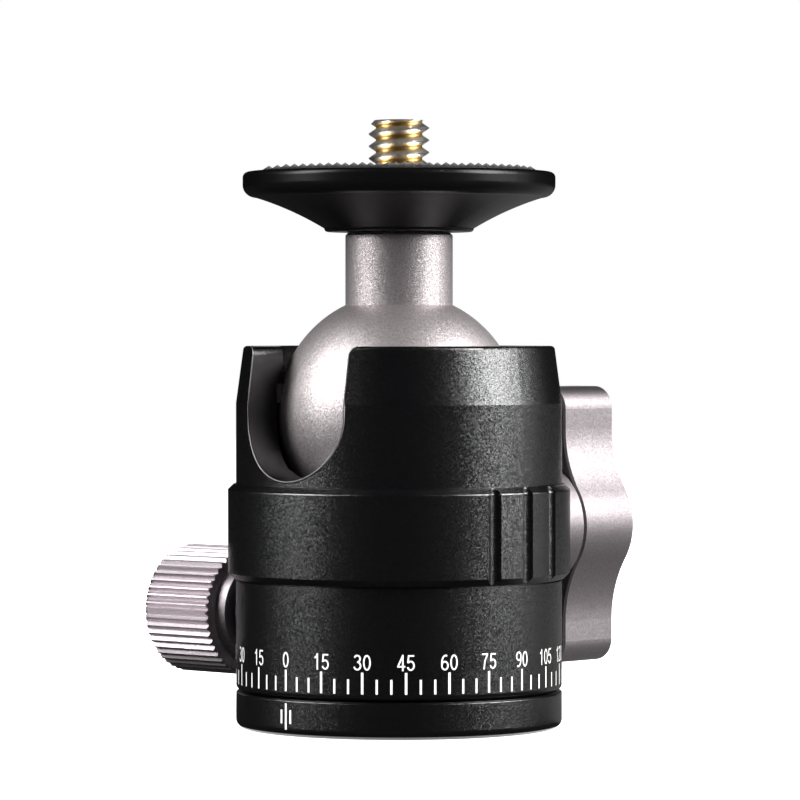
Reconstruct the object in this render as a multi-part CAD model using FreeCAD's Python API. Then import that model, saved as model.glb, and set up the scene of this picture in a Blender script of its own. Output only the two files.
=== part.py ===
import FreeCAD, Part
import math
import os

# Tripod ball head. Millimetres, +Z up, origin at the centre of the base's bottom face.
# The drop notch faces -Y, the main wing knob faces +Y and the small pan knob faces -X.

Vec = FreeCAD.Vector

# Fits and clearances
running_fit = 0.05      # radial play of a turning or sliding fit
thread_play = 0.05      # threads are drawn plain at their major radius, with this play
slip_gap = 0.02         # between flat faces that slide or press on each other
ball_play = 0.06        # between the ball and its two seats
seat_gap = 0.05         # between fixed pieces laid in a recess
overcut = 1.0           # how far a cutter runs past the face it opens

# Base: foot ring, drum that the pan shoe grips, and hub
body_r = 17.0           # outer radius of base ring and housing
base_h = 3.8            # height of the foot ring
base_edge = 0.9         # rounding of the foot's bottom edge
base_top_chamfer = 0.15
drum_inset = 3.8        # from the outside to the drum
drum_top = 14.0
hub_r = 4.0
tripod_thread_r = 4.7625    # 3/8 inch thread
tripod_thread_depth = 9.0
tripod_thread_mouth = 0.5   # countersink at the thread's mouth
camera_thread_r = 3.175     # 1/4 inch thread, in the reducer and on the camera screw
reducer_recess = 0.1    # the reducer sits this far above the foot's face
reducer_top = 8.2
reducer_edge = 0.3
reducer_slot_w = 1.2
reducer_slot_depth = 1.0

# Pan friction washer and the parts that hold the housing down
pan_gap = 0.12          # dark line between foot ring and housing
slip_ring_t = 0.5
slip_ring_w = 2.1
slip_ring_step = 0.3    # from the drum to the ring's hole
keeper_t = 1.05         # retaining washer
keeper_r = 6.0
keeper_screw_r = 1.5
keeper_head_r = 2.75
keeper_screw_len = 5.0
keeper_socket_af = 2.0  # hexagon socket, across flats
keeper_socket_depth = 0.9

# Housing outside
scale_h = 11.38         # plain scale body, above the pan gap
scale_edge = 0.6        # rounding of its lower edge
undercut_w = 0.2        # height of the fine groove under the band
undercut_depth = 0.35
band_step = 0.85        # the band stands this far out
band_h = 9.88
band_bottom_chamfer = 0.65
band_top_chamfer = 0.6
wall_h = 14.32          # from the band to the top face
cone_h = 5.95           # upper part of the wall, which leans in
cone_inset = 0.8
top_edge = 0.35
groove_count = 3
groove_pitch_deg = 14.3
groove_r = 0.8
groove_depth = 0.55

# Housing inside
ball_r = 12.7
ball_below_top = 7.15   # the ball's centre under the top face
bore_mouth = 0.3
plug_t = 2.25
plug_gap = 0.35         # between drum and floor plug
plug_pin_hole_r = 0.9
plug_pin_hole_depth = 1.2
cup_rim = 0.1           # the cup is this much wider than the ball
cavity_relief = 0.5     # free width round the ball's equator
cavity_depth = 5.5      # of the relief, below the ball's centre
lip_rise = 3.4          # underside of the lip above the ball's centre
lip_bite = 0.4          # the lip's throat is this much narrower than the ball
lip_throat_h = 0.35
mouth_bite = 0.2        # and its mouth this much
seat_ring_h = 2.15
seat_ring_clear = 0.3   # beside the notch

# Drop notch
notch_play = 1.15       # beside the neck
notch_sill = 0.52       # the notch's foot above the band
notch_corner = 1.0
notch_bevel = 0.16

# Ball unit
ball_flat_r = 3.0
neck_r = 5.6
neck_len = 19.0         # from the ball's centre to the plate
neck_chamfer = 0.35
spigot_r = 4.3
spigot_h = 2.0
plate_r = 16.3
plate_h = 6.25
plate_foot_r = 7.8
plate_foot_edge = 0.35
plate_rim_h = 2.65      # from the trumpet's end to the top
plate_rim_round = 1.3
plate_top_round = 0.6
trumpet_r_share = 0.42  # a point of the trumpet's hollow flank, as shares of its width
trumpet_h_share = 0.55  # and of its height
pad_inset = 1.85
pad_t = 1.4
pad_rise = 0.6          # pad above the plate's top
pad_hole_r = 3.7
pad_point_pitch = 2.4   # the pad's four-sided points stand in square rows
pad_point_h = 0.5
pad_point_tip = 0.45    # width of a point's flat tip
camera_screw_len = 4.8  # above the pad
camera_screw_tip = 0.5
flange_r = 6.0
flange_t = 1.5
stud_r = 3.0            # thread inside the neck, and the plain shank through the pad
stud_depth = 7.0
drill_room = 1.0        # of the neck's hole past the stud
drill_point = 1.0

# Main lock: screw, wedge and cup
lock_rise = 0.5         # screw's axis above the ball's lowest point
lock_screw_r = 3.0
lock_dog_r = 1.7
lock_dog_len = 2.5
wedge_w = 8.0
wedge_thin_y = 0.0
wedge_push_y = 10.5
wedge_drop = 2.05       # slope's height on the pan axis, below the screw's axis
wedge_angle = 20.0
cup_lift_gap = 0.6      # under the cup when the ball is locked
cup_slot_room = 1.6     # past the wedge's thin end
cup_rim_rise = 5.35     # cup's rim above the ball's lowest point
cup_relief_r = 5.0

# Main knob
knob_stand = 4.15       # from the band to the wing
wing_half = 14.9
wing_end_half_w = 3.9
wing_waist = 10.3       # where the wing's straight end meets its hollow flank
wing_boss_r = 6.9
wing_corner = 2.4
wing_depth = 8.1
wing_edge = 0.2
spacer_step = 0.05      # the spacer's radius is this much less than the boss's
spacer_gap = 0.35       # between spacer and band when locked
spacer_relief = 0.25    # dark line beside the wing
spacer_relief_depth = 0.5
head_recess = 0.3       # screw heads lie this far below their knob's face
main_head_r = 5.0
main_head_h = 4.0
main_socket_af = 4.0
main_washer_r = 5.2
main_washer_t = 0.85
main_spot_depth = 0.95  # flat on the band for the washer

# Pan knob
pan_rise = 7.23         # knob's axis above the pan gap
pan_screw_r = 2.5
shoe_r = 2.1
shoe_len = 1.1
pan_knob_r = 6.9
pan_knob_stand = 4.6    # from the scale body to the flutes
pan_knob_len = 9.4
pan_knob_edge = 0.2
pan_knob_back_edge = 0.15
flute_count = 50
flute_depth = 0.35
flute_share = 0.94      # of a flute's pitch
flute_over = 0.05       # the flute's cutter above the crest
pan_boss_r = 5.2
pan_boss_root_r = 5.6
pan_boss_len = 1.1
pan_head_r = 4.25
pan_head_h = 3.5
pan_socket_af = 3.0
pan_washer_r = 4.3
pan_washer_t = 3.4      # a collar that reaches towards the knob's boss
pan_spot_depth = 0.65


def save(name, shape):
    """Check one node's solids and write its file."""
    solids = shape.Solids
    if not solids or not shape.isValid():
        raise ValueError("bad shape: " + name)
    out = solids[0] if len(solids) == 1 else Part.makeCompound(solids)
    out.exportStep("parts/" + name + ".step")
    print(f"{name}: {len(solids)} solid, {out.Volume:.1f} mm3")


def face_of(edges):
    return Part.Face(Part.Wire(Part.__sortEdges__(edges)))


def polygon_face(points):
    return Part.Face(Part.makePolygon([Vec(*p) for p in points] + [Vec(*points[0])]))


def turned(profile):
    """Revolve an outline about Z. Its items are (r, z) corners; an arc is written
    as ("arc", (r, z) on the arc, (r, z) at its end)."""
    edges = []
    last = profile[0]
    for item in profile[1:] + [profile[0]]:
        if item[0] == "arc":
            through, end = item[1], item[2]
            ends = [Vec(r, 0, z) for r, z in (last, through, end)]
            edges.append(Part.Arc(*ends).toShape())
            last = end
        elif item != last:
            start, end = Vec(last[0], 0, last[1]), Vec(item[0], 0, item[1])
            edges.append(Part.LineSegment(start, end).toShape())
            last = item
    return Part.Face(Part.Wire(edges)).revolve(Vec(0, 0, 0), Vec(0, 0, 1), 360)


def rod(radius, start, end, axis, z=0.0):
    """Cylinder along axis X or Y between two coordinates, at height z."""
    direction = Vec(1, 0, 0) if axis == "x" else Vec(0, 1, 0)
    low = min(start, end)
    at = direction * low + Vec(0, 0, z)
    return Part.makeCylinder(radius, abs(end - start), at, direction)


def hexagon(across_flats, length, at, direction):
    """Hexagonal prism for a socket, standing on its centre point."""
    corner = across_flats / math.sqrt(3)
    turns = [math.radians(60 * i) for i in range(6)]
    prism = polygon_face([(corner * math.cos(t), corner * math.sin(t), 0) for t in turns]).extrude(Vec(0, 0, length))
    prism.Placement = FreeCAD.Placement(at, FreeCAD.Rotation(Vec(0, 0, 1), direction))
    return prism


def round_in(radius):
    """How far the middle of a quarter round lies in from the corner's two sides."""
    return radius * (1 - math.cos(math.pi / 4))


# Radii, heights and places that follow from the driving dimensions
drum_r = body_r - drum_inset
slip_ring_in = drum_r + slip_ring_step
slip_ring_out = slip_ring_in + slip_ring_w
housing_bottom = base_h + pan_gap
scale_top = housing_bottom + scale_h
band_bottom = scale_top + undercut_w
band_top = band_bottom + band_h
band_r = body_r + band_step
body_top = band_top + wall_h
cone_start = body_top - cone_h
top_r = body_r - cone_inset
low_bore_r = drum_r + running_fit
plug_bottom = drum_top + plug_gap
bore_shoulder = plug_bottom + plug_t
keeper_bottom = drum_top + plug_t - keeper_t + seat_gap
keeper_top = keeper_bottom + keeper_t
ball_z = body_top - ball_below_top
ball_low = ball_z - ball_r
cup_r = ball_r + cup_rim
cavity_r = ball_r + cavity_relief
cavity_bottom = ball_z - cavity_depth
lip_h = ball_z + lip_rise
notch_w = 2 * (neck_r + notch_play)
notch_bottom = band_top + notch_sill
neck_top = ball_z + neck_len
plate_top = neck_top + plate_h
pad_r = plate_r - pad_inset
pad_top = plate_top + pad_rise
pad_bottom = pad_top - pad_t
stud_bottom = neck_top - stud_depth
flange_bottom = pad_bottom - seat_gap - flange_t
lock_z = ball_low + lock_rise
wedge_mid_z = lock_z - wedge_drop
wedge_slope = math.tan(math.radians(wedge_angle))
cup_bottom = bore_shoulder + cup_lift_gap
wing_in = band_r + knob_stand
wing_out = wing_in + wing_depth
spacer_r = wing_boss_r - spacer_step
main_head_in = wing_out - head_recess - main_head_h
spot_main_y = band_r - main_spot_depth
pan_z = housing_bottom + pan_rise
pan_knob_in = body_r + pan_knob_stand
pan_knob_out = pan_knob_in + pan_knob_len
pan_head_in = pan_knob_out - head_recess - pan_head_h
spot_pan_x = body_r - pan_spot_depth
shoe_tip = drum_r + running_fit
shoe_back = shoe_tip + shoe_len


def base_ring():
    """Foot ring, drum and hub in one turned piece, with the tripod thread from below."""
    thread_r = tripod_thread_r + thread_play
    recess = housing_bottom - slip_ring_t
    arc_in = round_in(base_edge)
    profile = [
        (thread_r + tripod_thread_mouth, 0),
        (body_r - base_edge, 0),
        ("arc", (body_r - arc_in, arc_in), (body_r, base_edge)),
        (body_r, base_h - base_top_chamfer),
        (body_r - base_top_chamfer, base_h),
        (slip_ring_out + seat_gap, base_h),
        (slip_ring_out + seat_gap, recess),
        (drum_r, recess),
        (drum_r, drum_top),
        (hub_r, drum_top),
        (hub_r, keeper_bottom),
        (0, keeper_bottom),
        (0, tripod_thread_depth),
        (thread_r, tripod_thread_depth),
        (thread_r, tripod_thread_mouth),
    ]
    body = turned(profile)
    hole_r = keeper_screw_r + thread_play
    hole_bottom = keeper_top - keeper_screw_len - seat_gap
    hole = Part.makeCylinder(hole_r, keeper_bottom - hole_bottom, Vec(0, 0, hole_bottom))
    sink = keeper_cone(thread_play)
    return body.cut(hole).cut(sink)


def keeper_cone(play):
    """Countersink cone of the retaining screw's head, widened by play."""
    depth = keeper_head_r - keeper_screw_r
    return Part.makeCone(keeper_screw_r + play, keeper_head_r + play, depth, Vec(0, 0, keeper_top - depth))


def pan_keeper_washer():
    ring = Part.makeCylinder(keeper_r, keeper_t, Vec(0, 0, keeper_bottom))
    ring = ring.cut(Part.makeCylinder(keeper_screw_r + thread_play, keeper_t, Vec(0, 0, keeper_bottom)))
    return ring.cut(keeper_cone(thread_play))


def pan_keeper_screw():
    shank = Part.makeCylinder(keeper_screw_r, keeper_screw_len, Vec(0, 0, keeper_top - keeper_screw_len))
    screw = shank.fuse(keeper_cone(0)).removeSplitter()
    socket_floor = Vec(0, 0, keeper_top - keeper_socket_depth)
    return screw.cut(hexagon(keeper_socket_af, keeper_socket_depth, socket_floor, Vec(0, 0, 1)))


def thread_reducer():
    """Slotted bush from the larger tripod thread to the smaller one."""
    bore_r = camera_thread_r + thread_play
    profile = [
        (bore_r + reducer_edge, reducer_recess),
        (tripod_thread_r - reducer_edge, reducer_recess),
        (tripod_thread_r, reducer_recess + reducer_edge),
        (tripod_thread_r, reducer_top),
        (bore_r, reducer_top),
        (bore_r, reducer_recess + reducer_edge),
    ]
    bush = turned(profile)
    reach = tripod_thread_r + overcut
    slot = Part.makeBox(2 * reach, reducer_slot_w, reducer_slot_depth + reducer_recess)
    slot.translate(Vec(-reach, -reducer_slot_w / 2, 0))
    return bush.cut(slot)


def pan_slip_ring():
    ring = Part.makeCylinder(slip_ring_out, slip_ring_t, Vec(0, 0, housing_bottom - slip_ring_t))
    return ring.cut(Part.makeCylinder(slip_ring_in, slip_ring_t, Vec(0, 0, housing_bottom - slip_ring_t)))


def notch_tool(extra=0.0):
    """Prism that cuts the drop notch: round bottom, straight sides, flared top corners."""
    half = notch_w / 2 + extra
    centre = notch_bottom + notch_w / 2
    flare = notch_corner
    flare_z = body_top - flare
    lean = round_in(flare)
    rise = flare - lean
    above = body_top + overcut
    flare_start = Vec(half, 0, flare_z)
    flare_middle = Vec(half + lean, 0, flare_z + rise)
    flare_end = Vec(half + flare, 0, body_top)
    right = [
        Part.LineSegment(Vec(half, 0, centre), flare_start).toShape(),
        Part.Arc(flare_start, flare_middle, flare_end).toShape(),
        Part.LineSegment(flare_end, Vec(half + flare, 0, above)).toShape(),
    ]
    left = [edge.mirror(Vec(0, 0, 0), Vec(1, 0, 0)) for edge in right]
    cap = Part.LineSegment(Vec(half + flare, 0, above), Vec(-half - flare, 0, above)).toShape()
    bottom = Part.Arc(Vec(-half, 0, centre), Vec(0, 0, centre - half), Vec(half, 0, centre)).toShape()
    face = face_of([bottom, cap] + right + left)
    return face.extrude(Vec(0, -band_r - overcut, 0))


def on_notch_rim(edge):
    """True for an edge where the notch's wall meets the straight part of the outer wall."""
    near = 0.1
    middle = edge.valueAt((edge.FirstParameter + edge.LastParameter) / 2)
    inside = abs(middle.x) < notch_w / 2 + near and middle.y < 0
    high = middle.z > notch_bottom - near and edge.BoundBox.ZMax < cone_start + near
    return inside and high and abs(math.hypot(middle.x, middle.y) - body_r) < near


def housing_blank():
    """Turned outside and inside of the housing, before the notch and the side holes."""
    low_in = round_in(scale_edge)
    top_in = round_in(top_edge)
    groove_floor = body_r - undercut_depth
    top_lean = cone_inset * (cone_h - top_edge) / cone_h
    lip_throat_r = ball_r - lip_bite
    guide_r = cup_r + running_fit
    profile = [
        (low_bore_r + bore_mouth, housing_bottom),
        (body_r - scale_edge, housing_bottom),
        ("arc", (body_r - low_in, housing_bottom + low_in), (body_r, housing_bottom + scale_edge)),
        (body_r, scale_top),
        (groove_floor, scale_top),
        (groove_floor, band_bottom),
        (band_r - band_bottom_chamfer, band_bottom),
        (band_r, band_bottom + band_bottom_chamfer),
        (band_r, band_top - band_top_chamfer),
        (band_r - band_top_chamfer, band_top),
        (body_r, band_top),
        (body_r, cone_start),
        (body_r - top_lean, body_top - top_edge),
        ("arc", (top_r - top_in, body_top - top_in), (top_r - top_edge, body_top)),
        (ball_r - mouth_bite, body_top),
        (lip_throat_r, lip_h + lip_throat_h),
        (lip_throat_r, lip_h),
        (cavity_r, lip_h),
        (cavity_r, cavity_bottom),
        (guide_r, cavity_bottom - (cavity_r - guide_r)),
        (guide_r, bore_shoulder),
        (low_bore_r, bore_shoulder),
        (low_bore_r, housing_bottom + bore_mouth),
    ]
    return turned(profile)


def housing():
    """Housing with notch, band grooves, spot faces and the two screw bores."""
    body = housing_blank()
    for i in range(groove_count):
        angle = math.radians((i - (groove_count - 1) / 2) * groove_pitch_deg)
        reach = band_r + groove_r - groove_depth
        at = Vec(reach * math.cos(angle), reach * math.sin(angle), band_bottom - undercut_w)
        body = body.cut(Part.makeCylinder(groove_r, band_h + undercut_w + overcut, at))
    body = body.cut(notch_tool())
    rim = [edge for edge in body.Edges if on_notch_rim(edge)]
    body = body.makeChamfer(notch_bevel, rim)
    outside = band_r + overcut
    body = body.cut(rod(main_washer_r + seat_gap, spot_main_y, outside, "y", lock_z))
    body = body.cut(rod(lock_screw_r + thread_play, 0, outside, "y", lock_z))
    body = body.cut(rod(pan_washer_r + seat_gap, -outside, -spot_pan_x, "x", pan_z))
    return body.cut(rod(pan_screw_r + thread_play, -outside, 0, "x", pan_z))


def upper_seat_ring():
    """C-shaped slip ring between ball and lip, open at the notch."""
    low = lip_h - seat_ring_h
    ring = Part.makeCylinder(cavity_r - seat_gap, seat_ring_h - seat_gap, Vec(0, 0, low))
    ring = ring.cut(Part.makeSphere(ball_r + ball_play, Vec(0, 0, ball_z)))
    return ring.cut(notch_tool(seat_ring_clear))


def floor_plug():
    """Threaded disc that closes the housing from below, with a counterbore for the keeper."""
    disc = Part.makeCylinder(low_bore_r - thread_play, plug_t, Vec(0, 0, plug_bottom))
    disc = disc.cut(Part.makeCylinder(hub_r + running_fit, plug_t, Vec(0, 0, plug_bottom)))
    pocket_floor = keeper_bottom - slip_gap
    disc = disc.cut(Part.makeCylinder(keeper_r + running_fit, plug_t, Vec(0, 0, pocket_floor)))
    for side in (-1, 1):
        at = Vec(0, side * (keeper_r + low_bore_r) / 2, plug_bottom)
        disc = disc.cut(Part.makeCylinder(plug_pin_hole_r, plug_pin_hole_depth, at))
    return disc


def ball_stem():
    """Ball and neck in one turned piece, with a spigot and thread for the plate."""
    junction = ball_z + math.sqrt(ball_r ** 2 - neck_r ** 2)
    flat_z = ball_z - math.sqrt(ball_r ** 2 - ball_flat_r ** 2)
    thread_r = stud_r + thread_play
    hole_end = stud_bottom - drill_room
    profile = [
        (0, flat_z),
        (ball_flat_r, flat_z),
        ("arc", (ball_r, ball_z), (neck_r, junction)),
        (neck_r, neck_top - neck_chamfer),
        (neck_r - neck_chamfer, neck_top),
        (spigot_r, neck_top),
        (spigot_r, neck_top + spigot_h),
        (thread_r, neck_top + spigot_h),
        (thread_r, hole_end),
        (0, hole_end - drill_point),
    ]
    return turned(profile)


def top_plate():
    """Trumpet-shaped plate with a socket for the neck and a recess for the pad."""
    rim_low = plate_top - plate_rim_h
    foot_z = neck_top + slip_gap
    turn_r = plate_r - plate_rim_round
    side_low = rim_low + plate_rim_round
    web = neck_top + spigot_h + slip_gap
    foot_in = round_in(plate_foot_edge)
    arc_in = round_in(plate_rim_round)
    top_in = round_in(plate_top_round)
    flank_r = plate_foot_r + (turn_r - plate_foot_r) * trumpet_r_share
    flank_z = foot_z + (rim_low - foot_z) * trumpet_h_share
    profile = [
        (spigot_r + seat_gap, foot_z),
        (plate_foot_r - plate_foot_edge, foot_z),
        ("arc", (plate_foot_r - foot_in, foot_z + foot_in), (plate_foot_r, foot_z + plate_foot_edge)),
        ("arc", (flank_r, flank_z), (turn_r, rim_low)),
        ("arc", (plate_r - arc_in, rim_low + arc_in), (plate_r, side_low)),
        (plate_r, plate_top - plate_top_round),
        ("arc", (plate_r - top_in, plate_top - top_in), (plate_r - plate_top_round, plate_top)),
        (pad_r + seat_gap, plate_top),
        (pad_r + seat_gap, pad_bottom),
        (flange_r + seat_gap, pad_bottom),
        (flange_r + seat_gap, flange_bottom),
        (stud_r + thread_play, flange_bottom),
        (stud_r + thread_play, web),
        (spigot_r + seat_gap, web),
    ]
    return turned(profile)


def pad_ridges():
    """Block as wide as the pad, with ridges along Y: flat tips and V-shaped valleys."""
    valley = pad_top - pad_point_h
    half_tip = pad_point_tip / 2
    rows = math.ceil(pad_r / pad_point_pitch)
    end = (rows + 0.5) * pad_point_pitch
    outline = [(-end, -end, pad_bottom), (-end, -end, valley)]
    for i in range(-rows, rows + 1):
        middle = i * pad_point_pitch
        outline += [(middle - half_tip, -end, pad_top), (middle + half_tip, -end, pad_top)]
        outline.append((middle + pad_point_pitch / 2, -end, valley))
    outline.append((end, -end, pad_bottom))
    return polygon_face(outline).extrude(Vec(0, 2 * end, 0))


def plate_pad():
    """Rubber disc whose top is cut into rows of points by two crossing sets of ridges."""
    pad = Part.makeCylinder(pad_r, pad_t, Vec(0, 0, pad_bottom))
    along = pad_ridges()
    across = along.copy()
    across.rotate(Vec(0, 0, 0), Vec(0, 0, 1), 90)
    pad = pad.common(along).common(across)
    return pad.cut(Part.makeCylinder(pad_hole_r, pad_t, Vec(0, 0, pad_bottom)))


def camera_screw():
    """Stud with a flange that clamps the plate to the neck; the camera's thread starts
    above the pad."""
    tip = pad_top + camera_screw_len
    profile = [
        (0, stud_bottom),
        (stud_r - camera_screw_tip, stud_bottom),
        (stud_r, stud_bottom + camera_screw_tip),
        (stud_r, flange_bottom),
        (flange_r, flange_bottom),
        (flange_r, flange_bottom + flange_t),
        (stud_r, flange_bottom + flange_t),
        (stud_r, pad_top),
        (camera_thread_r, pad_top),
        (camera_thread_r, tip - camera_screw_tip),
        (camera_thread_r - camera_screw_tip, tip),
        (0, tip),
    ]
    return turned(profile)


def wedge_outline(gap, y_low, y_high, z_low):
    """Face in the YZ plane under the sloping top, raised by gap."""
    def slope_z(y):
        return wedge_mid_z + gap + y * wedge_slope
    base = [(0, y_low, z_low), (0, y_high, z_low)]
    return polygon_face(base + [(0, y_high, slope_z(y_high)), (0, y_low, slope_z(y_low))])


def lock_wedge():
    face = wedge_outline(0, wedge_thin_y, wedge_push_y, bore_shoulder + slip_gap)
    wedge = face.extrude(Vec(wedge_w, 0, 0))
    wedge.translate(Vec(-wedge_w / 2, 0, 0))
    return wedge


def ball_cup():
    """Floating cup: ring-shaped spherical seat above, sloping slot for the wedge below."""
    cup_top = ball_low + cup_rim_rise
    cup = Part.makeCylinder(cup_r, cup_top - cup_bottom, Vec(0, 0, cup_bottom))
    cup = cup.cut(Part.makeSphere(ball_r + ball_play, Vec(0, 0, ball_z)))
    cup = cup.cut(Part.makeCylinder(cup_relief_r, cup_top - cup_bottom, Vec(0, 0, cup_bottom)))
    low_y = wedge_thin_y - cup_slot_room
    slot_w = wedge_w + 2 * running_fit
    slot = wedge_outline(slip_gap, low_y, cup_r + overcut, bore_shoulder).extrude(Vec(slot_w, 0, 0))
    slot.translate(Vec(-slot_w / 2, 0, 0))
    return cup.cut(slot)


def main_lock_screw():
    """Low-head socket screw with a dog point that pushes the wedge."""
    start = wedge_push_y + slip_gap
    screw = rod(lock_dog_r, start, start + lock_dog_len, "y", lock_z)
    screw = screw.fuse(rod(lock_screw_r, start + lock_dog_len, main_head_in, "y", lock_z))
    screw = screw.fuse(rod(main_head_r, main_head_in, main_head_in + main_head_h, "y", lock_z))
    socket_floor = Vec(0, main_head_in + main_head_h / 2, lock_z)
    socket = hexagon(main_socket_af, main_head_h, socket_floor, Vec(0, 1, 0))
    return screw.removeSplitter().cut(socket)


def wing_outline():
    """Closed wing outline in the XZ plane about the knob's axis: straight rounded ends,
    hollow flanks and a round boss, each flank arc tangent to its neighbours."""
    span = wing_end_half_w ** 2 + wing_waist ** 2 - wing_boss_r ** 2
    hollow_r = span / (2 * (wing_boss_r - wing_end_half_w))
    cx = wing_end_half_w + hollow_r
    cz = wing_waist
    reach = wing_boss_r + hollow_r
    tx, tz = cx * wing_boss_r / reach, cz * wing_boss_r / reach
    middle = (math.pi + math.atan2(tz - cz, tx - cx) % (2 * math.pi)) / 2
    boss_turn = math.atan2(tz, tx) / 2
    corner = wing_corner
    diagonal = round_in(corner)

    def point(x, z):
        return Vec(x, 0, lock_z + z)

    tangent = point(tx, tz)
    flank = point(cx + hollow_r * math.cos(middle), cz + hollow_r * math.sin(middle))
    boss = point(wing_boss_r * math.cos(boss_turn), wing_boss_r * math.sin(boss_turn))
    corner_in = point(wing_end_half_w - corner, wing_half)
    corner_middle = point(wing_end_half_w - diagonal, wing_half - diagonal)
    corner_out = point(wing_end_half_w, wing_half - corner)
    waist = point(wing_end_half_w, wing_waist)
    quarter = [
        Part.LineSegment(point(0, wing_half), corner_in).toShape(),
        Part.Arc(corner_in, corner_middle, corner_out).toShape(),
        Part.LineSegment(corner_out, waist).toShape(),
        Part.Arc(waist, flank, tangent).toShape(),
        Part.Arc(tangent, boss, point(wing_boss_r, 0)).toShape(),
    ]
    half = quarter + [edge.mirror(Vec(0, 0, lock_z), Vec(0, 0, 1)) for edge in quarter]
    return face_of(half + [edge.mirror(Vec(0, 0, 0), Vec(1, 0, 0)) for edge in half])


def main_knob():
    """Wing knob: extruded outline with bevelled edges and a counterbore for the screw head."""
    flat = 1e-6
    wing = wing_outline().extrude(Vec(0, wing_depth, 0))
    wing = wing.removeSplitter()
    wing = wing.makeChamfer(wing_edge, [edge for edge in wing.Edges if edge.BoundBox.YLength < flat])
    wing.translate(Vec(0, wing_in, 0))
    outside = wing_out + overcut
    wing = wing.cut(rod(lock_screw_r + thread_play, wing_in - overcut, outside, "y", lock_z))
    return wing.cut(rod(main_head_r + seat_gap, main_head_in - slip_gap, outside, "y", lock_z))


def main_knob_spacer():
    """Round collar between band and wing, stepped where it meets the wing."""
    start = band_r + spacer_gap
    collar = rod(spacer_r, start, wing_in - spacer_relief, "y", lock_z)
    collar = collar.fuse(rod(spacer_r - spacer_relief_depth, start, wing_in, "y", lock_z))
    bore = rod(lock_screw_r + thread_play, start - overcut, wing_in + overcut, "y", lock_z)
    return collar.removeSplitter().cut(bore)


def main_knob_washer():
    outer = spot_main_y + main_washer_t
    ring = rod(main_washer_r, spot_main_y, outer, "y", lock_z)
    bore = rod(lock_screw_r + running_fit, spot_main_y - overcut, outer + overcut, "y", lock_z)
    return ring.cut(bore)


def pan_brake_shoe():
    """Soft slug whose end is hollowed to the drum's radius."""
    slug = rod(shoe_r, -drum_r + overcut, -shoe_back, "x", pan_z)
    drum = Part.makeCylinder(drum_r + running_fit, drum_top, Vec(0, 0, 0))
    return slug.cut(drum)


def pan_lock_screw():
    screw = rod(pan_screw_r, -(shoe_back + slip_gap), -pan_head_in, "x", pan_z)
    screw = screw.fuse(rod(pan_head_r, -pan_head_in, -pan_head_in - pan_head_h, "x", pan_z))
    socket_floor = Vec(-pan_head_in - pan_head_h / 2, 0, pan_z)
    socket = hexagon(pan_socket_af, pan_head_h, socket_floor, Vec(-1, 0, 0))
    return screw.removeSplitter().cut(socket)


def pan_knob():
    """Fluted knob with bevelled ends and a cone-shaped boss towards the housing."""
    blank = turned([
        (0, pan_knob_in - pan_boss_len),
        (pan_boss_r, pan_knob_in - pan_boss_len),
        (pan_boss_root_r, pan_knob_in),
        (pan_knob_r - pan_knob_back_edge, pan_knob_in),
        (pan_knob_r, pan_knob_in + pan_knob_back_edge),
        (pan_knob_r, pan_knob_out - pan_knob_edge),
        (pan_knob_r - pan_knob_edge, pan_knob_out),
        (0, pan_knob_out),
    ])
    half_w = flute_share * math.pi * pan_knob_r / flute_count
    above = pan_knob_r + flute_over
    start = pan_knob_in - flute_over
    flute = polygon_face([
        (pan_knob_r - flute_depth, 0, start),
        (above, -half_w, start),
        (above, half_w, start),
    ]).extrude(Vec(0, 0, pan_knob_len + 2 * flute_over))
    flutes = []
    for i in range(flute_count):
        turned_flute = flute.copy()
        turned_flute.rotate(Vec(0, 0, 0), Vec(0, 0, 1), 360.0 * i / flute_count)
        flutes.append(turned_flute)
    knob = blank.cut(Part.makeCompound(flutes))
    knob = knob.cut(Part.makeCylinder(pan_screw_r + thread_play, pan_knob_out + overcut))
    counterbore = Vec(0, 0, pan_head_in - slip_gap)
    knob = knob.cut(Part.makeCylinder(pan_head_r + seat_gap, pan_head_h + overcut, counterbore))
    knob.Placement = FreeCAD.Placement(Vec(0, 0, pan_z), FreeCAD.Rotation(Vec(0, 0, 1), Vec(-1, 0, 0)))
    return knob


def pan_knob_washer():
    outer = spot_pan_x + pan_washer_t
    ring = rod(pan_washer_r, -spot_pan_x, -outer, "x", pan_z)
    bore = rod(pan_screw_r + running_fit, -spot_pan_x + overcut, -outer - overcut, "x", pan_z)
    return ring.cut(bore)


os.makedirs("parts", exist_ok=True)
nodes = [
    base_ring,
    thread_reducer,
    pan_slip_ring,
    pan_keeper_washer,
    pan_keeper_screw,
    housing,
    upper_seat_ring,
    floor_plug,
    ball_stem,
    top_plate,
    plate_pad,
    camera_screw,
    ball_cup,
    lock_wedge,
    main_lock_screw,
    main_knob,
    main_knob_spacer,
    main_knob_washer,
    pan_brake_shoe,
    pan_lock_screw,
    pan_knob,
    pan_knob_washer,
]
for make in nodes:
    save(make.__name__, make())
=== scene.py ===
import math

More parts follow.
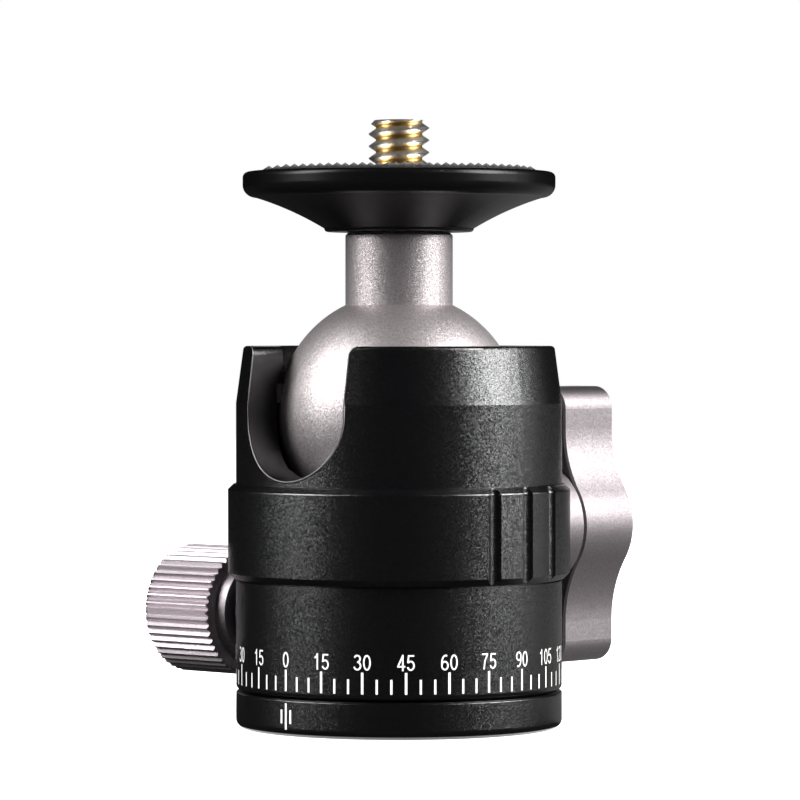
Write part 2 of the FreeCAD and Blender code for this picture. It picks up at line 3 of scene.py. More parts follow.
import bpy
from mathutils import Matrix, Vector


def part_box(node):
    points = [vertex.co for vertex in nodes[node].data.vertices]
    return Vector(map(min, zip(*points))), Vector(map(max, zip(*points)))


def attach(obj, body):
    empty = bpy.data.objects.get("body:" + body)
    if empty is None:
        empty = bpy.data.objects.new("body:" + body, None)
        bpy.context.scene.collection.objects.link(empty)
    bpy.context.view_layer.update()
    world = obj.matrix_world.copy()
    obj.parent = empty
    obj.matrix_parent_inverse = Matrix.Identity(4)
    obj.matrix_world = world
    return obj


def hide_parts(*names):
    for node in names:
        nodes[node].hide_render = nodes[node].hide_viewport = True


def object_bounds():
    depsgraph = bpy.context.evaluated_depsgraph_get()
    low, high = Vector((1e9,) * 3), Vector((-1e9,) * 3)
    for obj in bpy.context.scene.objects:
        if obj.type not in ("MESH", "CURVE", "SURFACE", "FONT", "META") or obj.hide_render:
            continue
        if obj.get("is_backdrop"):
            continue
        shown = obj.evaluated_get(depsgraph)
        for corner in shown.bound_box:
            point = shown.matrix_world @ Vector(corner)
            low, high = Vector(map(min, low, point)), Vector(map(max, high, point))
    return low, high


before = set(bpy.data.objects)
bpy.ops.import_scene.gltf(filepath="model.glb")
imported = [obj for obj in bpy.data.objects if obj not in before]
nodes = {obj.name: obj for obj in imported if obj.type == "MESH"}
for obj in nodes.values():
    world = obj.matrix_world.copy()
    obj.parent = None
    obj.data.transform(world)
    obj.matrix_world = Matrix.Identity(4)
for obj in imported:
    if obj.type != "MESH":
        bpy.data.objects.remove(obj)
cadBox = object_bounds()
mm = 0.001
print("ball head: frame loaded,", len(nodes), "pieces from the CAD")

# The places that the added pieces hang on, read from the frame
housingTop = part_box("housing")[1].z
padLow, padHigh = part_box("plate_pad")
screwLow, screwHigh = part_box("camera_screw")
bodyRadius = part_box("base_ring")[1].x


def hexColour(code):
    # sRGB hex to the linear colour that the shaders take
    channels = [int(code[i:i + 2], 16) / 255 for i in (1, 3, 5)]
    linear = [c / 12.92 if c <= 0.04045 else ((c + 0.055) / 1.055) ** 2.4 for c in channels]
    return (*linear, 1.0)


fullWhite = hexColour("#FFFFFF")


def addNode(tree, kind, settings=None, inputs=None):
    # One node with its settings; an input is a value or another node's output
    node = tree.nodes.new(kind)
    for key, value in (settings or {}).items():
        setattr(node, key, value)
    for key, value in (inputs or {}).items():
        if isinstance(value, bpy.types.NodeSocket):
            tree.links.new(value, node.inputs[key])
        else:
            node.inputs[key].default_value = value
    return node


def newMaterial(name, **inputs):
    # A Principled material with plain values; returns it with its tree and shader
    material = bpy.data.materials.new(name)
    material.use_nodes = True
    tree = material.node_tree
    shader = tree.nodes["Principled BSDF"]
    for key, value in inputs.items():
        shader.inputs[key.replace("_", " ")].default_value = value
    return material, tree, shader


def ramp(tree, value, stops):
    # Colour ramp from (position, colour) stops
    node = addNode(tree, "ShaderNodeValToRGB", inputs={"Fac": value})
    elements = node.color_ramp.elements
    while len(elements) < len(stops):
        elements.new(0.5)
    for element, (position, colour) in zip(elements, stops):
        element.position = position
        element.color = hexColour(colour)
    return node.outputs["Color"]


def objectPoint(tree):
    return addNode(tree, "ShaderNodeTexCoord").outputs["Object"]


def heightOf(tree, point):
    return addNode(tree, "ShaderNodeSeparateXYZ", inputs={"Vector": point}).outputs["Z"]


def grain(tree, point, size):
    # Noise whose bumps are about size metres wide
    inputs = {"Vector": point, "Scale": 0.5 / size, "Detail": 2.0, "Roughness": 0.55}
    return addNode(tree, "ShaderNodeTexNoise", inputs=inputs).outputs["Fac"]


def bump(tree, height, strength, distance):
    inputs = {"Height": height, "Strength": strength, "Distance": distance}
    return addNode(tree, "ShaderNodeBump", inputs=inputs).outputs["Normal"]


def sparkle(tree, point, size, tilt, lift=(0, 0, 0)):
    # Normal tipped a little at random in cells of one size, as blasted metal glitters;
    # lift is a vector that turns the face upwards where an edge is broken
    cells = addNode(tree, "ShaderNodeTexVoronoi", inputs={"Vector": point, "Scale": 1 / size})
    centred = addNode(tree, "ShaderNodeVectorMath", {"operation": "SUBTRACT"}, {
        0: cells.outputs["Color"], 1: (0.5, 0.5, 0.5)})
    tipped = addNode(tree, "ShaderNodeVectorMath", {"operation": "SCALE"}, {
        0: centred.outputs[0], "Scale": tilt})
    smooth = addNode(tree, "ShaderNodeNewGeometry").outputs["Normal"]
    rough = addNode(tree, "ShaderNodeVectorMath", {"operation": "ADD"}, {
        0: smooth, 1: tipped.outputs[0]})
    lifted = addNode(tree, "ShaderNodeVectorMath", {"operation": "ADD"}, {
        0: rough.outputs[0], 1: lift})
    return addNode(tree, "ShaderNodeVectorMath", {"operation": "NORMALIZE"}, {
        0: lifted.outputs[0]}).outputs[0]


def lineMask(tree, point, heights, halfWidth):
    # 1 on thin level lines at the given heights, 0 elsewhere
    z = heightOf(tree, point)
    total = 0.0
    for height in heights:
        line = addNode(tree, "ShaderNodeMath", {"operation": "COMPARE"}, {0: z, 1: height, 2: halfWidth})
        total = addNode(tree, "ShaderNodeMath", {"operation": "MAXIMUM"}, {
            0: total, 1: line.outputs[0]}).outputs[0]
    return total


blastedBlack = {
    "colour": "#020203",
    "shine": 1.0,  # the metal under the dye lifts the plain plastic-like reflection
    "roughness": 0.26,
    "grain": 0.045 * mm,  # real blast grit is finer; this is what still shows
    "glitter": 0.31,
    "edgeHalf": 0.06 * mm,  # half width of the bright line where two faces meet
    "edgeLift": 0.32,
    "housingEdges": (25.3 * mm, 24.73 * mm),  # the wall's foot, and the lower edge of the band's bevel
    "ringEdges": (3.66 * mm,),  # the foot ring's upper edge
}


def blastedBlackMaterial(name, edgeHeights):
    # Sand-blasted aluminium, dyed black when anodised: a dull dark coat with fine sparkle
    look = blastedBlack
    material, tree, shader = newMaterial(name, Base_Color=hexColour(look["colour"]),
                                         Specular_IOR_Level=look["shine"], Roughness=look["roughness"])
    point = objectPoint(tree)
    edges = lineMask(tree, point, edgeHeights, look["edgeHalf"])
    lift = addNode(tree, "ShaderNodeVectorMath", {"operation": "SCALE"}, {
        0: (0, 0, look["edgeLift"]), "Scale": edges}).outputs[0]
    normal = sparkle(tree, point, look["grain"], look["glitter"], lift)
    tree.links.new(normal, shader.inputs["Normal"])
    return material


turnedBlack = {
    "colour": "#050505",
    "shine": 0.2,
    "roughness": 0.3,
    "grain": 0.2 * mm,
    "bumpStrength": 0.1,
    "bumpHeight": 0.02 * mm,
}


def turnedBlackMaterial():
    # Fine-turned aluminium, anodised black: smoother than the housing, with a soft gloss
    look = turnedBlack
    material, tree, shader = newMaterial("turnedBlackAnodised", Base_Color=hexColour(look["colour"]),
                                         Specular_IOR_Level=look["shine"], Roughness=look["roughness"])
    waves = grain(tree, objectPoint(tree), look["grain"])
    dents = bump(tree, waves, look["bumpStrength"], look["bumpHeight"])
    tree.links.new(dents, shader.inputs["Normal"])
    return material


blastedSilver = {
    "metallic": 0.95,
    "roughness": 0.5,
    "tints": ("#A29B9D", "#C4BDBE"),
    "cloud": 0.09 * mm,  # width of the patches of tint
    "grain": 0.08 * mm,
    "glitter": 0.2,
}
satinWing = {
    "metallic": 1.0,
    "roughness": 0.42,
    "tints": ("#928B8D", "#A39C9F"),
    "cloud": 0.12 * mm,
    "grain": 0.09 * mm,
    "glitter": 0.08,
}
satinKnob = {**satinWing, "tints": ("#B8AFB4", "#C9C0C5")}


def silverMaterial(name, look):
    # Blasted aluminium with a clear anodised coat. The ball is a warm pale grey, dull and finely
    # grained; both knobs are smoother, the wing darker and the fluted knob a little pinker
    material, tree, shader = newMaterial(name, Metallic=look["metallic"], Roughness=look["roughness"])
    point = objectPoint(tree)
    darkTint, paleTint = look["tints"]
    tint = ramp(tree, grain(tree, point, look["cloud"]), [(0.3, darkTint), (0.7, paleTint)])
    tree.links.new(tint, shader.inputs["Base Color"])
    tree.links.new(sparkle(tree, point, look["grain"], look["glitter"]), shader.inputs["Normal"])
    return material


plainFinishes = {
    # colour, metallic, roughness
    "zincPlatedSteel": ("#A9AAAC", 1.0, 0.32),  # the socket screws: cool grey, fairly bright
    "milledBrass": ("#C9A45A", 1.0, 0.3),  # cartridge brass, the yellow wedge inside
    "turnedAluminium": ("#C4C4C6", 1.0, 0.3),  # no coat, the plug that closes the housing
    "turnedAcetal": ("#1C1C1D", 0.0, 0.45),  # slippery plastic, black and slightly waxy
    "screenInk": ("#D6D6D4", 0.0, 0.55),  # screen-printed epoxy: flat white marks and numbers
    "paintedNotchHighlight": ("#8C898A", 1.0, 0.4),  # painted highlight: a pale metal line along the notch's edge, standing in for the light its small chamfer catches
}


def plainMaterial(name):
    colour, metallic, roughness = plainFinishes[name]
    return newMaterial(name, Base_Color=hexColour(colour), Metallic=metallic, Roughness=roughness)[0]


whiteInk = plainMaterial("screenInk")
notchHighlightMaterial = plainMaterial("paintedNotchHighlight")
nodeMaterials = {
    blastedBlackMaterial("blastedBlackAnodised", blastedBlack["housingEdges"]): ["housing"],
    blastedBlackMaterial("blastedBlackAnodisedRing", blastedBlack["ringEdges"]): ["base_ring"],
    turnedBlackMaterial(): ["top_plate"],
    silverMaterial("blastedClearAnodised", blastedSilver): ["ball_stem"],
    silverMaterial("satinAnodisedWing", satinWing): ["main_knob", "main_knob_spacer"],
    silverMaterial("satinAnodisedKnob", satinKnob): ["pan_knob"],
    plainMaterial("zincPlatedSteel"): ["thread_reducer", "pan_keeper_washer", "pan_keeper_screw",
                                       "main_lock_screw", "pan_lock_screw"],
    plainMaterial("milledBrass"): ["lock_wedge"],
    plainMaterial("turnedAluminium"): ["floor_plug"],
    plainMaterial("turnedAcetal"): ["pan_slip_ring", "upper_seat_ring", "ball_cup", "pan_brake_shoe",
                                    "main_knob_washer", "pan_knob_washer"],
}
for material, names in nodeMaterials.items():
    for name in names:
        for slot in nodes[name].material_slots:
            slot.material = material
print("ball head: materials assigned")


def newPiece(name, points, faces, material, body, smooth=False):
    mesh = bpy.data.meshes.new(name)
    mesh.from_pydata([tuple(p) for p in points], [], faces)
    mesh.materials.append(material)
    mesh.validate()
    if smooth:
        mesh.shade_smooth()
    piece = bpy.data.objects.new(name, mesh)
    bpy.context.scene.collection.objects.link(piece)
    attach(piece, body)
    return piece


def onCylinder(radius, across, height, centreAngle=0.0):
    # A flat drawing's point laid on a cylinder; angle 0 is the notch side, and it grows to the right
    angle = centreAngle + across / radius
    return Vector((radius * math.sin(angle), -radius * math.cos(angle), height))


def addTurned(points, faces, outline, sides, closed=False):
    # An outline of (radius, height) points turned round the upright axis
    start = len(points)
    for r, z in outline:
        for k in range(sides):
            turn = 2 * math.pi * k / sides
            points.append(Vector((r * math.cos(turn), r * math.sin(turn), z)))
    rings = len(outline)
    for j in range(rings if closed else rings - 1):
        here = start + j * sides
        there = start + (j + 1) % rings * sides
        for k in range(sides):
            after = (k + 1) % sides
            faces.append((here + k, here + after, there + after, there + k))


scaleMarks = {
    "bottom": 4.66 * mm,  # lower ends of all ticks
    "longTick": 2.18 * mm,
    "shortTick": 1.48 * mm,
    "longWidth": 0.25 * mm,
    "shortWidth": 0.22 * mm,
    "tickStep": 5,  # degrees
    "numberStep": 15,
    "numberFoot": 7.03 * mm,
    "numberHeight": 1.64 * mm,
    "numberNarrow": 0.98,
    # the rest of a figure's sizes are shares of its height
    "figureWidth": 0.54,
    "figurePitch": 0.6,
    "stroke": 0.098,
    "sharpestMitre": 0.4,
    "ink": 0.012 * mm,  # the print stands this far off the metal
}


def addBar(points, faces, radius, angle, width, low, high):
    # One printed line on the cylinder, two quads wide so that it follows the curve
    start = len(points)
    for across in (-width / 2, 0, width / 2):
        points.append(onCylinder(radius, across, low, angle))
        points.append(onCylinder(radius, across, high, angle))
    for i in (0, 2):
        faces.append((start + i, start + i + 2, start + i + 3, start + i + 1))


def scaleTicks():
    look = scaleMarks
    points, faces = [], []
    radius, low = bodyRadius + look["ink"], look["bottom"]
    for degree in range(-175, 181, look["tickStep"]):
        isLong = degree % look["numberStep"] == 0
        high = low + (look["longTick"] if isLong else look["shortTick"])
        width = look["longWidth"] if isLong else look["shortWidth"]
        addBar(points, faces, radius, math.radians(degree), width, low, high)
    return newPiece("scaleTicks", points, faces, whiteInk, "housing")


def bow(x, y, rx, ry, start, end, count=14):
    # Points along an elliptic arc between two angles in degrees
    turns = [math.radians(start + (end - start) * i / count) for i in range(count + 1)]
    return [(x + rx * math.cos(t), y + ry * math.sin(t)) for t in turns]


# Middle lines of the plain printed figures, 1 high; each figure is a list of strokes
figureStrokes = {
    "0": [bow(0.27, 0.5, 0.2, 0.435, 90, 450, 28)],
    "1": [[(0.1, 0.72), (0.22, 0.8), (0.3, 0.94)], [(0.3, 1.0), (0.3, 0)]],
    "2": [bow(0.27, 0.7, 0.2, 0.235, 165, -25) + [(0.09, 0.12), (0.07, 0.065)],
          [(0.02, 0.065), (0.5, 0.065)]],
    "3": [bow(0.25, 0.735, 0.185, 0.2, 160, -90), bow(0.25, 0.3, 0.215, 0.235, 90, -165)],
    "4": [[(0.36, 0), (0.36, 1.0)], [(0.36, 0.93), (0.06, 0.29)], [(0.02, 0.27), (0.52, 0.27)]],
    "5": [[(0.47, 0.935), (0.13, 0.935), (0.085, 0.49)], bow(0.26, 0.33, 0.205, 0.265, 135, -160)],
    "6": [bow(0.27, 0.31, 0.2, 0.245, 90, 450, 24), bow(0.31, 0.46, 0.24, 0.475, 65, 200)],
    "7": [[(0.04, 0.935), (0.49, 0.935)], [(0.46, 0.93), (0.27, 0.55), (0.19, 0)]],
    "8": [bow(0.27, 0.735, 0.175, 0.2, 90, 450, 22), bow(0.27, 0.3, 0.205, 0.235, 90, 450, 24)],
    "9": [bow(0.27, 0.69, 0.2, 0.245, 90, 450, 24), bow(0.23, 0.54, 0.24, 0.475, 20, -115)],
}


def addStroke(points, faces, line, half, place):
    # A flat ribbon along a middle line; place lays a drawn point on the housing
    path = [Vector(p) for p in line]
    closed = (path[0] - path[-1]).length < 1e-6
    start = len(points)
    for i, at in enumerate(path):
        before = path[i - 1] if i > 0 else (path[-2] if closed else at)
        after = path[i + 1] if i < len(path) - 1 else (path[1] if closed else at)
        along = (after - before).normalized()
        side = Vector((-along.y, along.x))
        turn = (after - at).normalized() if after != at else along
        mitre = abs(side.dot(Vector((-turn.y, turn.x))))
        spread = half / max(scaleMarks["sharpestMitre"], mitre)
        points.append(place(at + side * spread))
        points.append(place(at - side * spread))
    for i in range(len(path) - 1):
        a = start + 2 * i
        faces.append((a, a + 1, a + 3, a + 2))


def scaleNumbers():
    look = scaleMarks
    points, faces = [], []
    size = look["numberHeight"]
    margin = (look["figurePitch"] - look["figureWidth"]) / 2
    for degree in range(-165, 181, look["numberStep"]):
        text = str(abs(degree))
        for k, figure in enumerate(text):
            left = (k - len(text) / 2) * look["figurePitch"] + margin

            def place(p):
                across = (left + p.x) * size * look["numberNarrow"]
                height = look["numberFoot"] + p.y * size
                return onCylinder(bodyRadius + look["ink"], across, height, math.radians(degree))

            for line in figureStrokes[figure]:
                addStroke(points, faces, line, look["stroke"] / 2, place)
    return newPiece("scaleNumbers", points, faces, whiteInk, "housing")


indexMark = {
    "lineWidth": 0.24 * mm,
    "long": (0.75 * mm, 3.42 * mm),  # from and to, in height
    "short": (1.35 * mm, 2.75 * mm),
    "apart": 0.62 * mm,
}


def baseIndex():
    look = indexMark
    points, faces = [], []
    radius, apart = bodyRadius + scaleMarks["ink"], look["apart"]
    for across, span in ((0, look["long"]), (-apart, look["short"]), (apart, look["short"])):
        addBar(points, faces, radius, across / radius, look["lineWidth"], *span)
    return newPiece("baseIndex", points, faces, whiteInk, "base")


notchEdge = {
    "halfWidth": 6.75 * mm,
    "foot": 25.9 * mm,
    "corner": 1.0 * mm,  # radius of the flare at the top
    "coneStart": 33.75 * mm,  # from here up the wall leans in
    "topRadius": 16.2 * mm,
    "lineRadius": 0.06 * mm,
    "lineSides": 8,
    "roundSteps": 32,
    "wallSteps": 6,
    "cornerSteps": 9,
}


def wallRadius(height):
    # Outer radius of the housing's wall, which leans in towards the top
    look = notchEdge
    if height <= look["coneStart"]:
        return bodyRadius
    share = (height - look["coneStart"]) / (housingTop - look["coneStart"])
    return bodyRadius + (look["topRadius"] - bodyRadius) * share


def notchPath():
    # The notch's outline on the outer wall, from the left top corner round to the right one
    look = notchEdge
    half, corner = look["halfWidth"], look["corner"]
    centre = look["foot"] + half
    flareFoot = housingTop - corner
    right = []
    for i in range(look["roundSteps"] + 1):
        angle = -math.pi / 2 + math.pi / 2 * i / look["roundSteps"]
        right.append((half * math.cos(angle), centre + half * math.sin(angle)))
    for i in range(1, look["wallSteps"] + 1):
        right.append((half, centre + (flareFoot - centre) * i / look["wallSteps"]))
    for i in range(1, look["cornerSteps"]):
        angle = math.pi / 2 * i / look["cornerSteps"]
        right.append((half + corner * (1 - math.cos(angle)), flareFoot + corner * math.sin(angle)))
    flat = [(-x, z) for x, z in reversed(right[1:])] + right
    return [Vector((x, -math.sqrt(wallRadius(z) ** 2 - x * x), z)) for x, z in flat]


def tube(path, radius, sides):
    # Points and faces of a round line along a path on the wall
    points, faces = [], []
    for i, at in enumerate(path):
        along = (path[min(i + 1, len(path) - 1)] - path[max(i - 1, 0)]).normalized()
        outward = Vector((at.x, at.y, 0)).normalized()
        across = along.cross(outward).normalized()
        normal = across.cross(along)
        for k in range(sides):
            turn = 2 * math.pi * k / sides
            points.append(at + radius * (math.cos(turn) * across + math.sin(turn) * normal))
    for i in range(len(path) - 1):
        for k in range(sides):
            a, b = i * sides + k, i * sides + (k + 1) % sides
            faces.append((a, b, b + sides, a + sides))
    faces.append(tuple(range(sides)))
    faces.append(tuple(range(len(points) - sides, len(points))))
    return points, faces


# A thin pale metal tube along the notch's rim: a painted highlight that stands in for the light caught
# by the edge's small chamfer
def notchBrightEdge():
    points, faces = tube(notchPath(), notchEdge["lineRadius"], notchEdge["lineSides"])
    return newPiece("notchBrightEdge", points, faces, notchHighlightMaterial, "housing",
                    smooth=True)


rubberPad = {
    "pointPitch": 1.2 * mm,
    "pointHeight": 0.5 * mm,
    "pointHalf": 0.54 * mm,  # half the side of a point's square foot
    "rim": 0.15 * mm,
    "holeRadius": 3.7 * mm,
    "sides": 96,
    "roughness": 0.62,
    "rubberTint": "#141415",
    "wornTint": "#5B5A5C",
}


def rubberMaterial():
    # Moulded rubber: dull black, greyer on the worn tips of its points
    look = rubberPad
    material, tree, shader = newMaterial("mouldedRubber", Roughness=look["roughness"])
    share = addNode(tree, "ShaderNodeMapRange", inputs={
        "Value": heightOf(tree, objectPoint(tree)),
        "From Min": padHigh.z - look["pointHeight"], "From Max": padHigh.z})
    tint = ramp(tree, share.outputs["Result"], [(0.2, look["rubberTint"]), (0.95, look["wornTint"])])
    tree.links.new(tint, shader.inputs["Base Color"])
    return material


def studdedPad():
    # Rubber disc with a square grid of four-sided points
    look = rubberPad
    radius, hole = padHigh.x, look["holeRadius"]
    pitch, half = look["pointPitch"], look["pointHalf"]
    deck = padHigh.z - look["pointHeight"]
    points, faces = [], []
    outline = [(hole, padLow.z), (radius, padLow.z), (radius, deck), (hole, deck)]
    addTurned(points, faces, outline, look["sides"], closed=True)
    reach = int(radius / pitch) + 1
    for i in range(-reach, reach + 1):
        for j in range(-reach, reach + 1):
            u, v = i * pitch, j * pitch
            distance = math.hypot(u, v)
            if distance > radius - look["rim"] - half or distance < hole + half:
                continue
            start = len(points)
            points.append((u - half, v - half, deck))
            points.append((u + half, v - half, deck))
            points.append((u + half, v + half, deck))
            points.append((u - half, v + half, deck))
            points.append((u, v, padHigh.z))
            for k in range(4):
                faces.append((start + k, start + (k + 1) % 4, start + 4))
    pad = newPiece("studdedPad", points, faces, rubberMaterial(), "ball")
    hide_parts("plate_pad")
    return pad


cameraThread = {
    "pitch": 1.27 * mm,
    "crest": 3.175 * mm,  # radius
    "root": 2.42 * mm,
    "crestFlat": 0.06,  # as a share of half a pitch
    "flank": 0.78,
    "tip": 2.55 * mm,  # radius of the end face, where a 45 degree bevel starts
    "shank": 3.0 * mm,
    "belowPad": 0.6 * mm,  # the thread starts this far under the pad's points
    "overlap": 0.1 * mm,  # the shank reaches this far into the thread
    "flangeGap": 0.05 * mm,
    "flangeThick": 1.5 * mm,
    "sides": 72,
    "rows": 12,  # in one pitch
    "roughness": 0.34,
    "tints": ("#D6B878", "#EADFCB", "#E6E3E0"),  # yellow root, worn flank, bare crest
    "patch": 0.9 * mm,  # width of the patches where the yellow is worn off
    "patchiness": 0.5,
    "bareEnd": (0.3 * mm, 0.1 * mm),  # below the end face the yellow fades between these
    "grain": 0.25 * mm,
    "bumpStrength": 0.3,
    "bumpHeight": 0.04 * mm,
}


def platedThreadMaterial():
    # Rolled steel screw, zinc plated: bright crests, with yellow passivation left in the roots
    look = cameraThread
    material, tree, shader = newMaterial("platedSteelThread", Metallic=1.0, Roughness=look["roughness"])
    point = objectPoint(tree)
    flat = addNode(tree, "ShaderNodeVectorMath", {"operation": "MULTIPLY"}, {0: point, 1: (1, 1, 0)})
    reach = addNode(tree, "ShaderNodeVectorMath", {"operation": "LENGTH"}, {0: flat.outputs["Vector"]})
    crest = addNode(tree, "ShaderNodeMapRange", inputs={
        "Value": reach.outputs["Value"], "From Min": look["root"], "From Max": look["crest"]})
    fadeFrom, fadeTo = look["bareEnd"]
    end = addNode(tree, "ShaderNodeMapRange", inputs={
        "Value": heightOf(tree, point),
        "From Min": screwHigh.z - fadeFrom, "From Max": screwHigh.z - fadeTo})
    bare = addNode(tree, "ShaderNodeMath", {"operation": "MAXIMUM"}, {
        0: crest.outputs["Result"], 1: end.outputs["Result"]})
    patch = addNode(tree, "ShaderNodeMath", {"operation": "MULTIPLY_ADD"}, {
        0: grain(tree, point, look["patch"]), 1: look["patchiness"], 2: -look["patchiness"] / 2})
    level = addNode(tree, "ShaderNodeMath", {"operation": "ADD"}, {
        0: bare.outputs[0], 1: patch.outputs[0]})
    tint = ramp(tree, level.outputs[0], list(zip((0.1, 0.4, 0.7), look["tints"])))
    tree.links.new(tint, shader.inputs["Base Color"])
    dents = bump(tree, grain(tree, point, look["grain"]), look["bumpStrength"], look["bumpHeight"])
    tree.links.new(dents, shader.inputs["Normal"])
    return material


def threadProfile(phase, look):
    # Radius across one pitch: straight flanks, a narrow crest and a slightly wider root
    distance = abs(phase - 0.5) * 2
    share = min(1.0, max(0.0, (distance - look["crestFlat"]) / look["flank"]))
    return look["crest"] + (look["root"] - look["crest"]) * share


def threadWall(look, low, high):
    # Helical surface between two heights, bevelled at its top end
    rows, sides, pitch = look["rows"], look["sides"], look["pitch"]
    count = int(math.ceil(((high - low) / pitch + 1) * rows)) + 1
    points, faces = [], []
    for i in range(sides):
        turn = i / sides
        for j in range(count):
            z = low + (j / rows - 1 + turn) * pitch
            z = min(max(z, low), high)
            phase = ((z - low) / pitch + 1 - turn) % 1.0
            r = min(threadProfile(phase, look), look["tip"] + (high - z))
            angle = 2 * math.pi * turn
            points.append(Vector((r * math.cos(angle), r * math.sin(angle), z)))
    for i in range(sides):
        for j in range(count - 1):
            a = i * count + j
            if i < sides - 1:
                b = (i + 1) * count + j
            elif j + rows < count - 1:
                b = j + rows
            else:
                continue
            faces.append((a, b, b + 1, a + 1))
    return points, faces, count


def cameraScrewThread():
    # The stud over the whole length of the CAD's screw, with a real thread above the pad
    look = cameraThread
    sides, shank = look["sides"], look["shank"]
    low, high = padHigh.z - look["belowPad"], screwHigh.z
    points, faces, count = threadWall(look, low, high)
    for z, first in ((low, 0), (high, count - 1)):
        centre = len(points)
        points.append(Vector((0, 0, z)))
        for i in range(sides):
            faces.append((i * count + first, (i + 1) % sides * count + first, centre))
    # Plain shank and flange below the thread, as one turned outline
    flange = screwHigh.x
    flangeTop = padLow.z - look["flangeGap"]
    flangeLow = flangeTop - look["flangeThick"]
    shankTop = low + look["overlap"]
    outline = [(0, screwLow.z), (shank, screwLow.z), (shank, flangeLow), (flange, flangeLow),
               (flange, flangeTop), (shank, flangeTop), (shank, shankTop), (0, shankTop)]
    addTurned(points, faces, outline, sides)
    screw = newPiece("cameraScrewThread", points, faces, platedThreadMaterial(), "ball")
    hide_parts("camera_screw")
    return screw


scaleTicks()
scaleNumbers()
baseIndex()
print("ball head: scale and index printed")
notchBrightEdge()
studdedPad()
cameraScrewThread()
print("ball head: notch edge, pad and camera screw made")

photoView = {
    "direction": 42.6,  # degrees round the object from the notch side
    "distance": 470 * mm,
    "height": 41.5 * mm,
    "aimHeight": 34.05 * mm,
    "aimRight": 0.1 * mm,
    "lens": 202.8,
}


def around(angle, distance, height):
    # A point at an angle round the object from the camera's direction, to the right of it when positive
    turn = math.radians(photoView["direction"] + angle)
    return Vector((distance * math.sin(turn), -distance * math.cos(turn), height))


def aim(thing, target):
    thing.rotation_mode = "QUATERNION"
    thing.rotation_quaternion = (target - thing.location).to_track_quat("-Z", "Y")


def addCamera():
    look = photoView
    data = bpy.data.cameras.new("photoCamera")
    data.lens = look["lens"]
    data.clip_start = 0.01
    data.clip_end = 10
    camera = bpy.data.objects.new("photoCamera", data)
    bpy.context.scene.collection.objects.link(camera)
    camera.location = around(0, look["distance"], look["height"])
    turn = math.radians(look["direction"])
    right = Vector((math.cos(turn), math.sin(turn), 0))
    aim(camera, Vector((0, 0, look["aimHeight"])) + right * look["aimRight"])
    bpy.context.scene.camera = camera


softboxes = {
    # angle from the camera, distance, height, width, tall, power
    "rightBox": (76, 0.80, 0.48, 0.42, 0.66, 17.0),
    "leftBox": (-75, 0.80, 0.48, 0.38, 0.66, 11.5),
    "fillBox": (0, 0.7, 0.50, 0.9, 0.7, 9.0),  # lights ink, rubber and floor, with no mirror image
}
softboxTarget = Vector((0, 0, 32 * mm))


def addSoftboxes():
    for name, (angle, distance, height, width, tall, power) in softboxes.items():
        data = bpy.data.lights.new(name, "AREA")
        data.shape = "RECTANGLE"
        data.size = width
        data.size_y = tall
        data.energy = power
        lamp = bpy.data.objects.new(name, data)
        bpy.context.scene.collection.objects.link(lamp)
        lamp.location = around(angle, distance, height)
        lamp.visible_glossy = name != "fillBox"
        aim(lamp, softboxTarget)


blackCards = {
    # the wall's stretches, as angles from the camera; the white surroundings show between them
    "arcs": ((-177, 84), (108, 177)),
    "radius": 1.05,
    "roof": 1.3,
    "roofSides": 48,
    "wallColour": "#060606",
    # the table's sectors, as angles from the camera; the paler one lights the wing knob from below
    "tables": {"darkTable": (-177, 86, "#262626"), "greyTable": (86, 183, "#707070")},
    "tableRadius": 1.12,
    "tableHeight": 0.3 * mm,
    "step": 7,  # degrees, at most
}


def addCard(name, points, faces, colour, keepsOutSky=False):
    # A card that only shiny surfaces show, and that can also keep the white surroundings' light out
    mesh = bpy.data.meshes.new(name)
    mesh.from_pydata([tuple(p) for p in points], [], faces)
    mesh.materials.append(newMaterial(name, Base_Color=hexColour(colour), Specular_IOR_Level=0.0)[0])
    card = bpy.data.objects.new(name, mesh)
    bpy.context.scene.collection.objects.link(card)
    card.visible_camera = False
    card.visible_shadow = keepsOutSky
    card.visible_diffuse = False
    card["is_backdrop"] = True


def anglesBetween(low, high):
    # Even steps from one angle to another
    steps = math.ceil((high - low) / blackCards["step"])
    return [low + (high - low) * i / steps for i in range(steps + 1)]


def addCards():
    # Dark room round the object, with a gap to the right and a narrow one behind, so that the
    # black parts stay black between the lights
    look = blackCards
    points, faces = [], []
    for low, high in look["arcs"]:
        angles = anglesBetween(low, high)
        start = len(points)
        for angle in angles:
            points.append(around(angle, look["radius"], 0))
            points.append(around(angle, look["radius"], look["roof"]))
        for i in range(len(angles) - 1):
            a = start + 2 * i
            faces.append((a, a + 2, a + 3, a + 1))
    sides = look["roofSides"]
    faces.append(tuple(range(len(points), len(points) + sides)))
    points += [around(360 * i / sides, look["radius"], look["roof"]) for i in range(sides)]
    addCard("darkRoom", points, faces, look["wallColour"], keepsOutSky=True)
    centre = Vector((0, 0, look["tableHeight"]))
    for name, (low, high, colour) in look["tables"].items():
        angles = anglesBetween(low, high)
        rim = [around(angle, look["tableRadius"], look["tableHeight"]) for angle in angles]
        addCard(name, [centre] + rim, [(0, i + 1, i + 2) for i in range(len(rim) - 1)], colour)


def backgroundRay(tree):
    # 1 for rays that show the background: straight from the camera, or by way of metal or glass
    path = addNode(tree, "ShaderNodeLightPath")
    first = addNode(tree, "ShaderNodeMath", {"operation": "MAXIMUM"}, {
        0: path.outputs["Is Camera Ray"], 1: path.outputs["Is Glossy Ray"]})
    return addNode(tree, "ShaderNodeMath", {"operation": "MAXIMUM"}, {
        0: first.outputs[0], 1: path.outputs["Is Transmission Ray"]}).outputs[0]


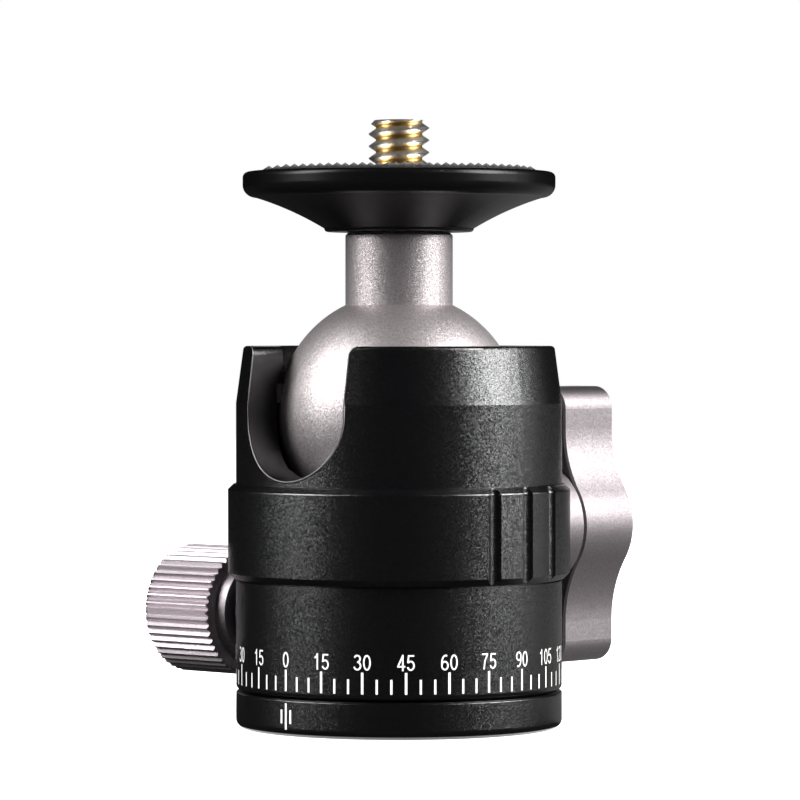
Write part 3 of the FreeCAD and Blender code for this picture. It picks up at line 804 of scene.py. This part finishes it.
def addWorld():
    world = bpy.data.worlds.new("studioWorld")
    world.use_nodes = True
    bpy.context.scene.world = world
    tree = world.node_tree
    tree.nodes.clear()
    white = addNode(tree, "ShaderNodeBackground", inputs={
        "Color": fullWhite, "Strength": backgroundRay(tree)})
    addNode(tree, "ShaderNodeOutputWorld", inputs={"Surface": white.outputs[0]})


paleSweep = {
    "half": 6.0,
    "paper": "#E6E6E6",
    # the background's glow at two distances from the object, the weaker one under its shadow
    "near": (0.05, 0.8),
    "far": (0.25, 1.0),
}


def addFloor():
    # Pale sweep: white to the camera, with the object's soft shadow left on it
    look = paleSweep
    half = look["half"]
    mesh = bpy.data.meshes.new("floor")
    corners = [(-half, -half, 0), (half, -half, 0), (half, half, 0), (-half, half, 0)]
    mesh.from_pydata(corners, [], [(0, 1, 2, 3)])
    material = bpy.data.materials.new("paleSweep")
    material.use_nodes = True
    tree = material.node_tree
    tree.nodes.clear()
    paper = addNode(tree, "ShaderNodeBsdfDiffuse", inputs={"Color": hexColour(look["paper"])})
    reach = addNode(tree, "ShaderNodeVectorMath", {"operation": "LENGTH"}, {0: objectPoint(tree)})
    strength = addNode(tree, "ShaderNodeMapRange", inputs={
        "Value": reach.outputs["Value"], "From Min": look["near"][0], "From Max": look["far"][0],
        "To Min": look["near"][1], "To Max": look["far"][1]})
    glow = addNode(tree, "ShaderNodeEmission", inputs={
        "Color": fullWhite, "Strength": strength.outputs["Result"]})
    both = addNode(tree, "ShaderNodeAddShader", inputs={0: paper.outputs[0], 1: glow.outputs[0]})
    shown = addNode(tree, "ShaderNodeMixShader", inputs={
        0: backgroundRay(tree), 1: paper.outputs[0], 2: both.outputs[0]})
    addNode(tree, "ShaderNodeOutputMaterial", inputs={"Surface": shown.outputs[0]})
    mesh.materials.append(material)
    floor = bpy.data.objects.new("floor", mesh)
    bpy.context.scene.collection.objects.link(floor)
    floor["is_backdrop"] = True


addCamera()
addSoftboxes()
addCards()
addWorld()
addFloor()
bpy.context.scene.view_settings.view_transform = "Standard"
print("ball head: stage ready")

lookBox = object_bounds()
boxes = {"cad": cadBox, "visual": lookBox}
{key: [list(corner) for corner in box] for key, box in boxes.items()}
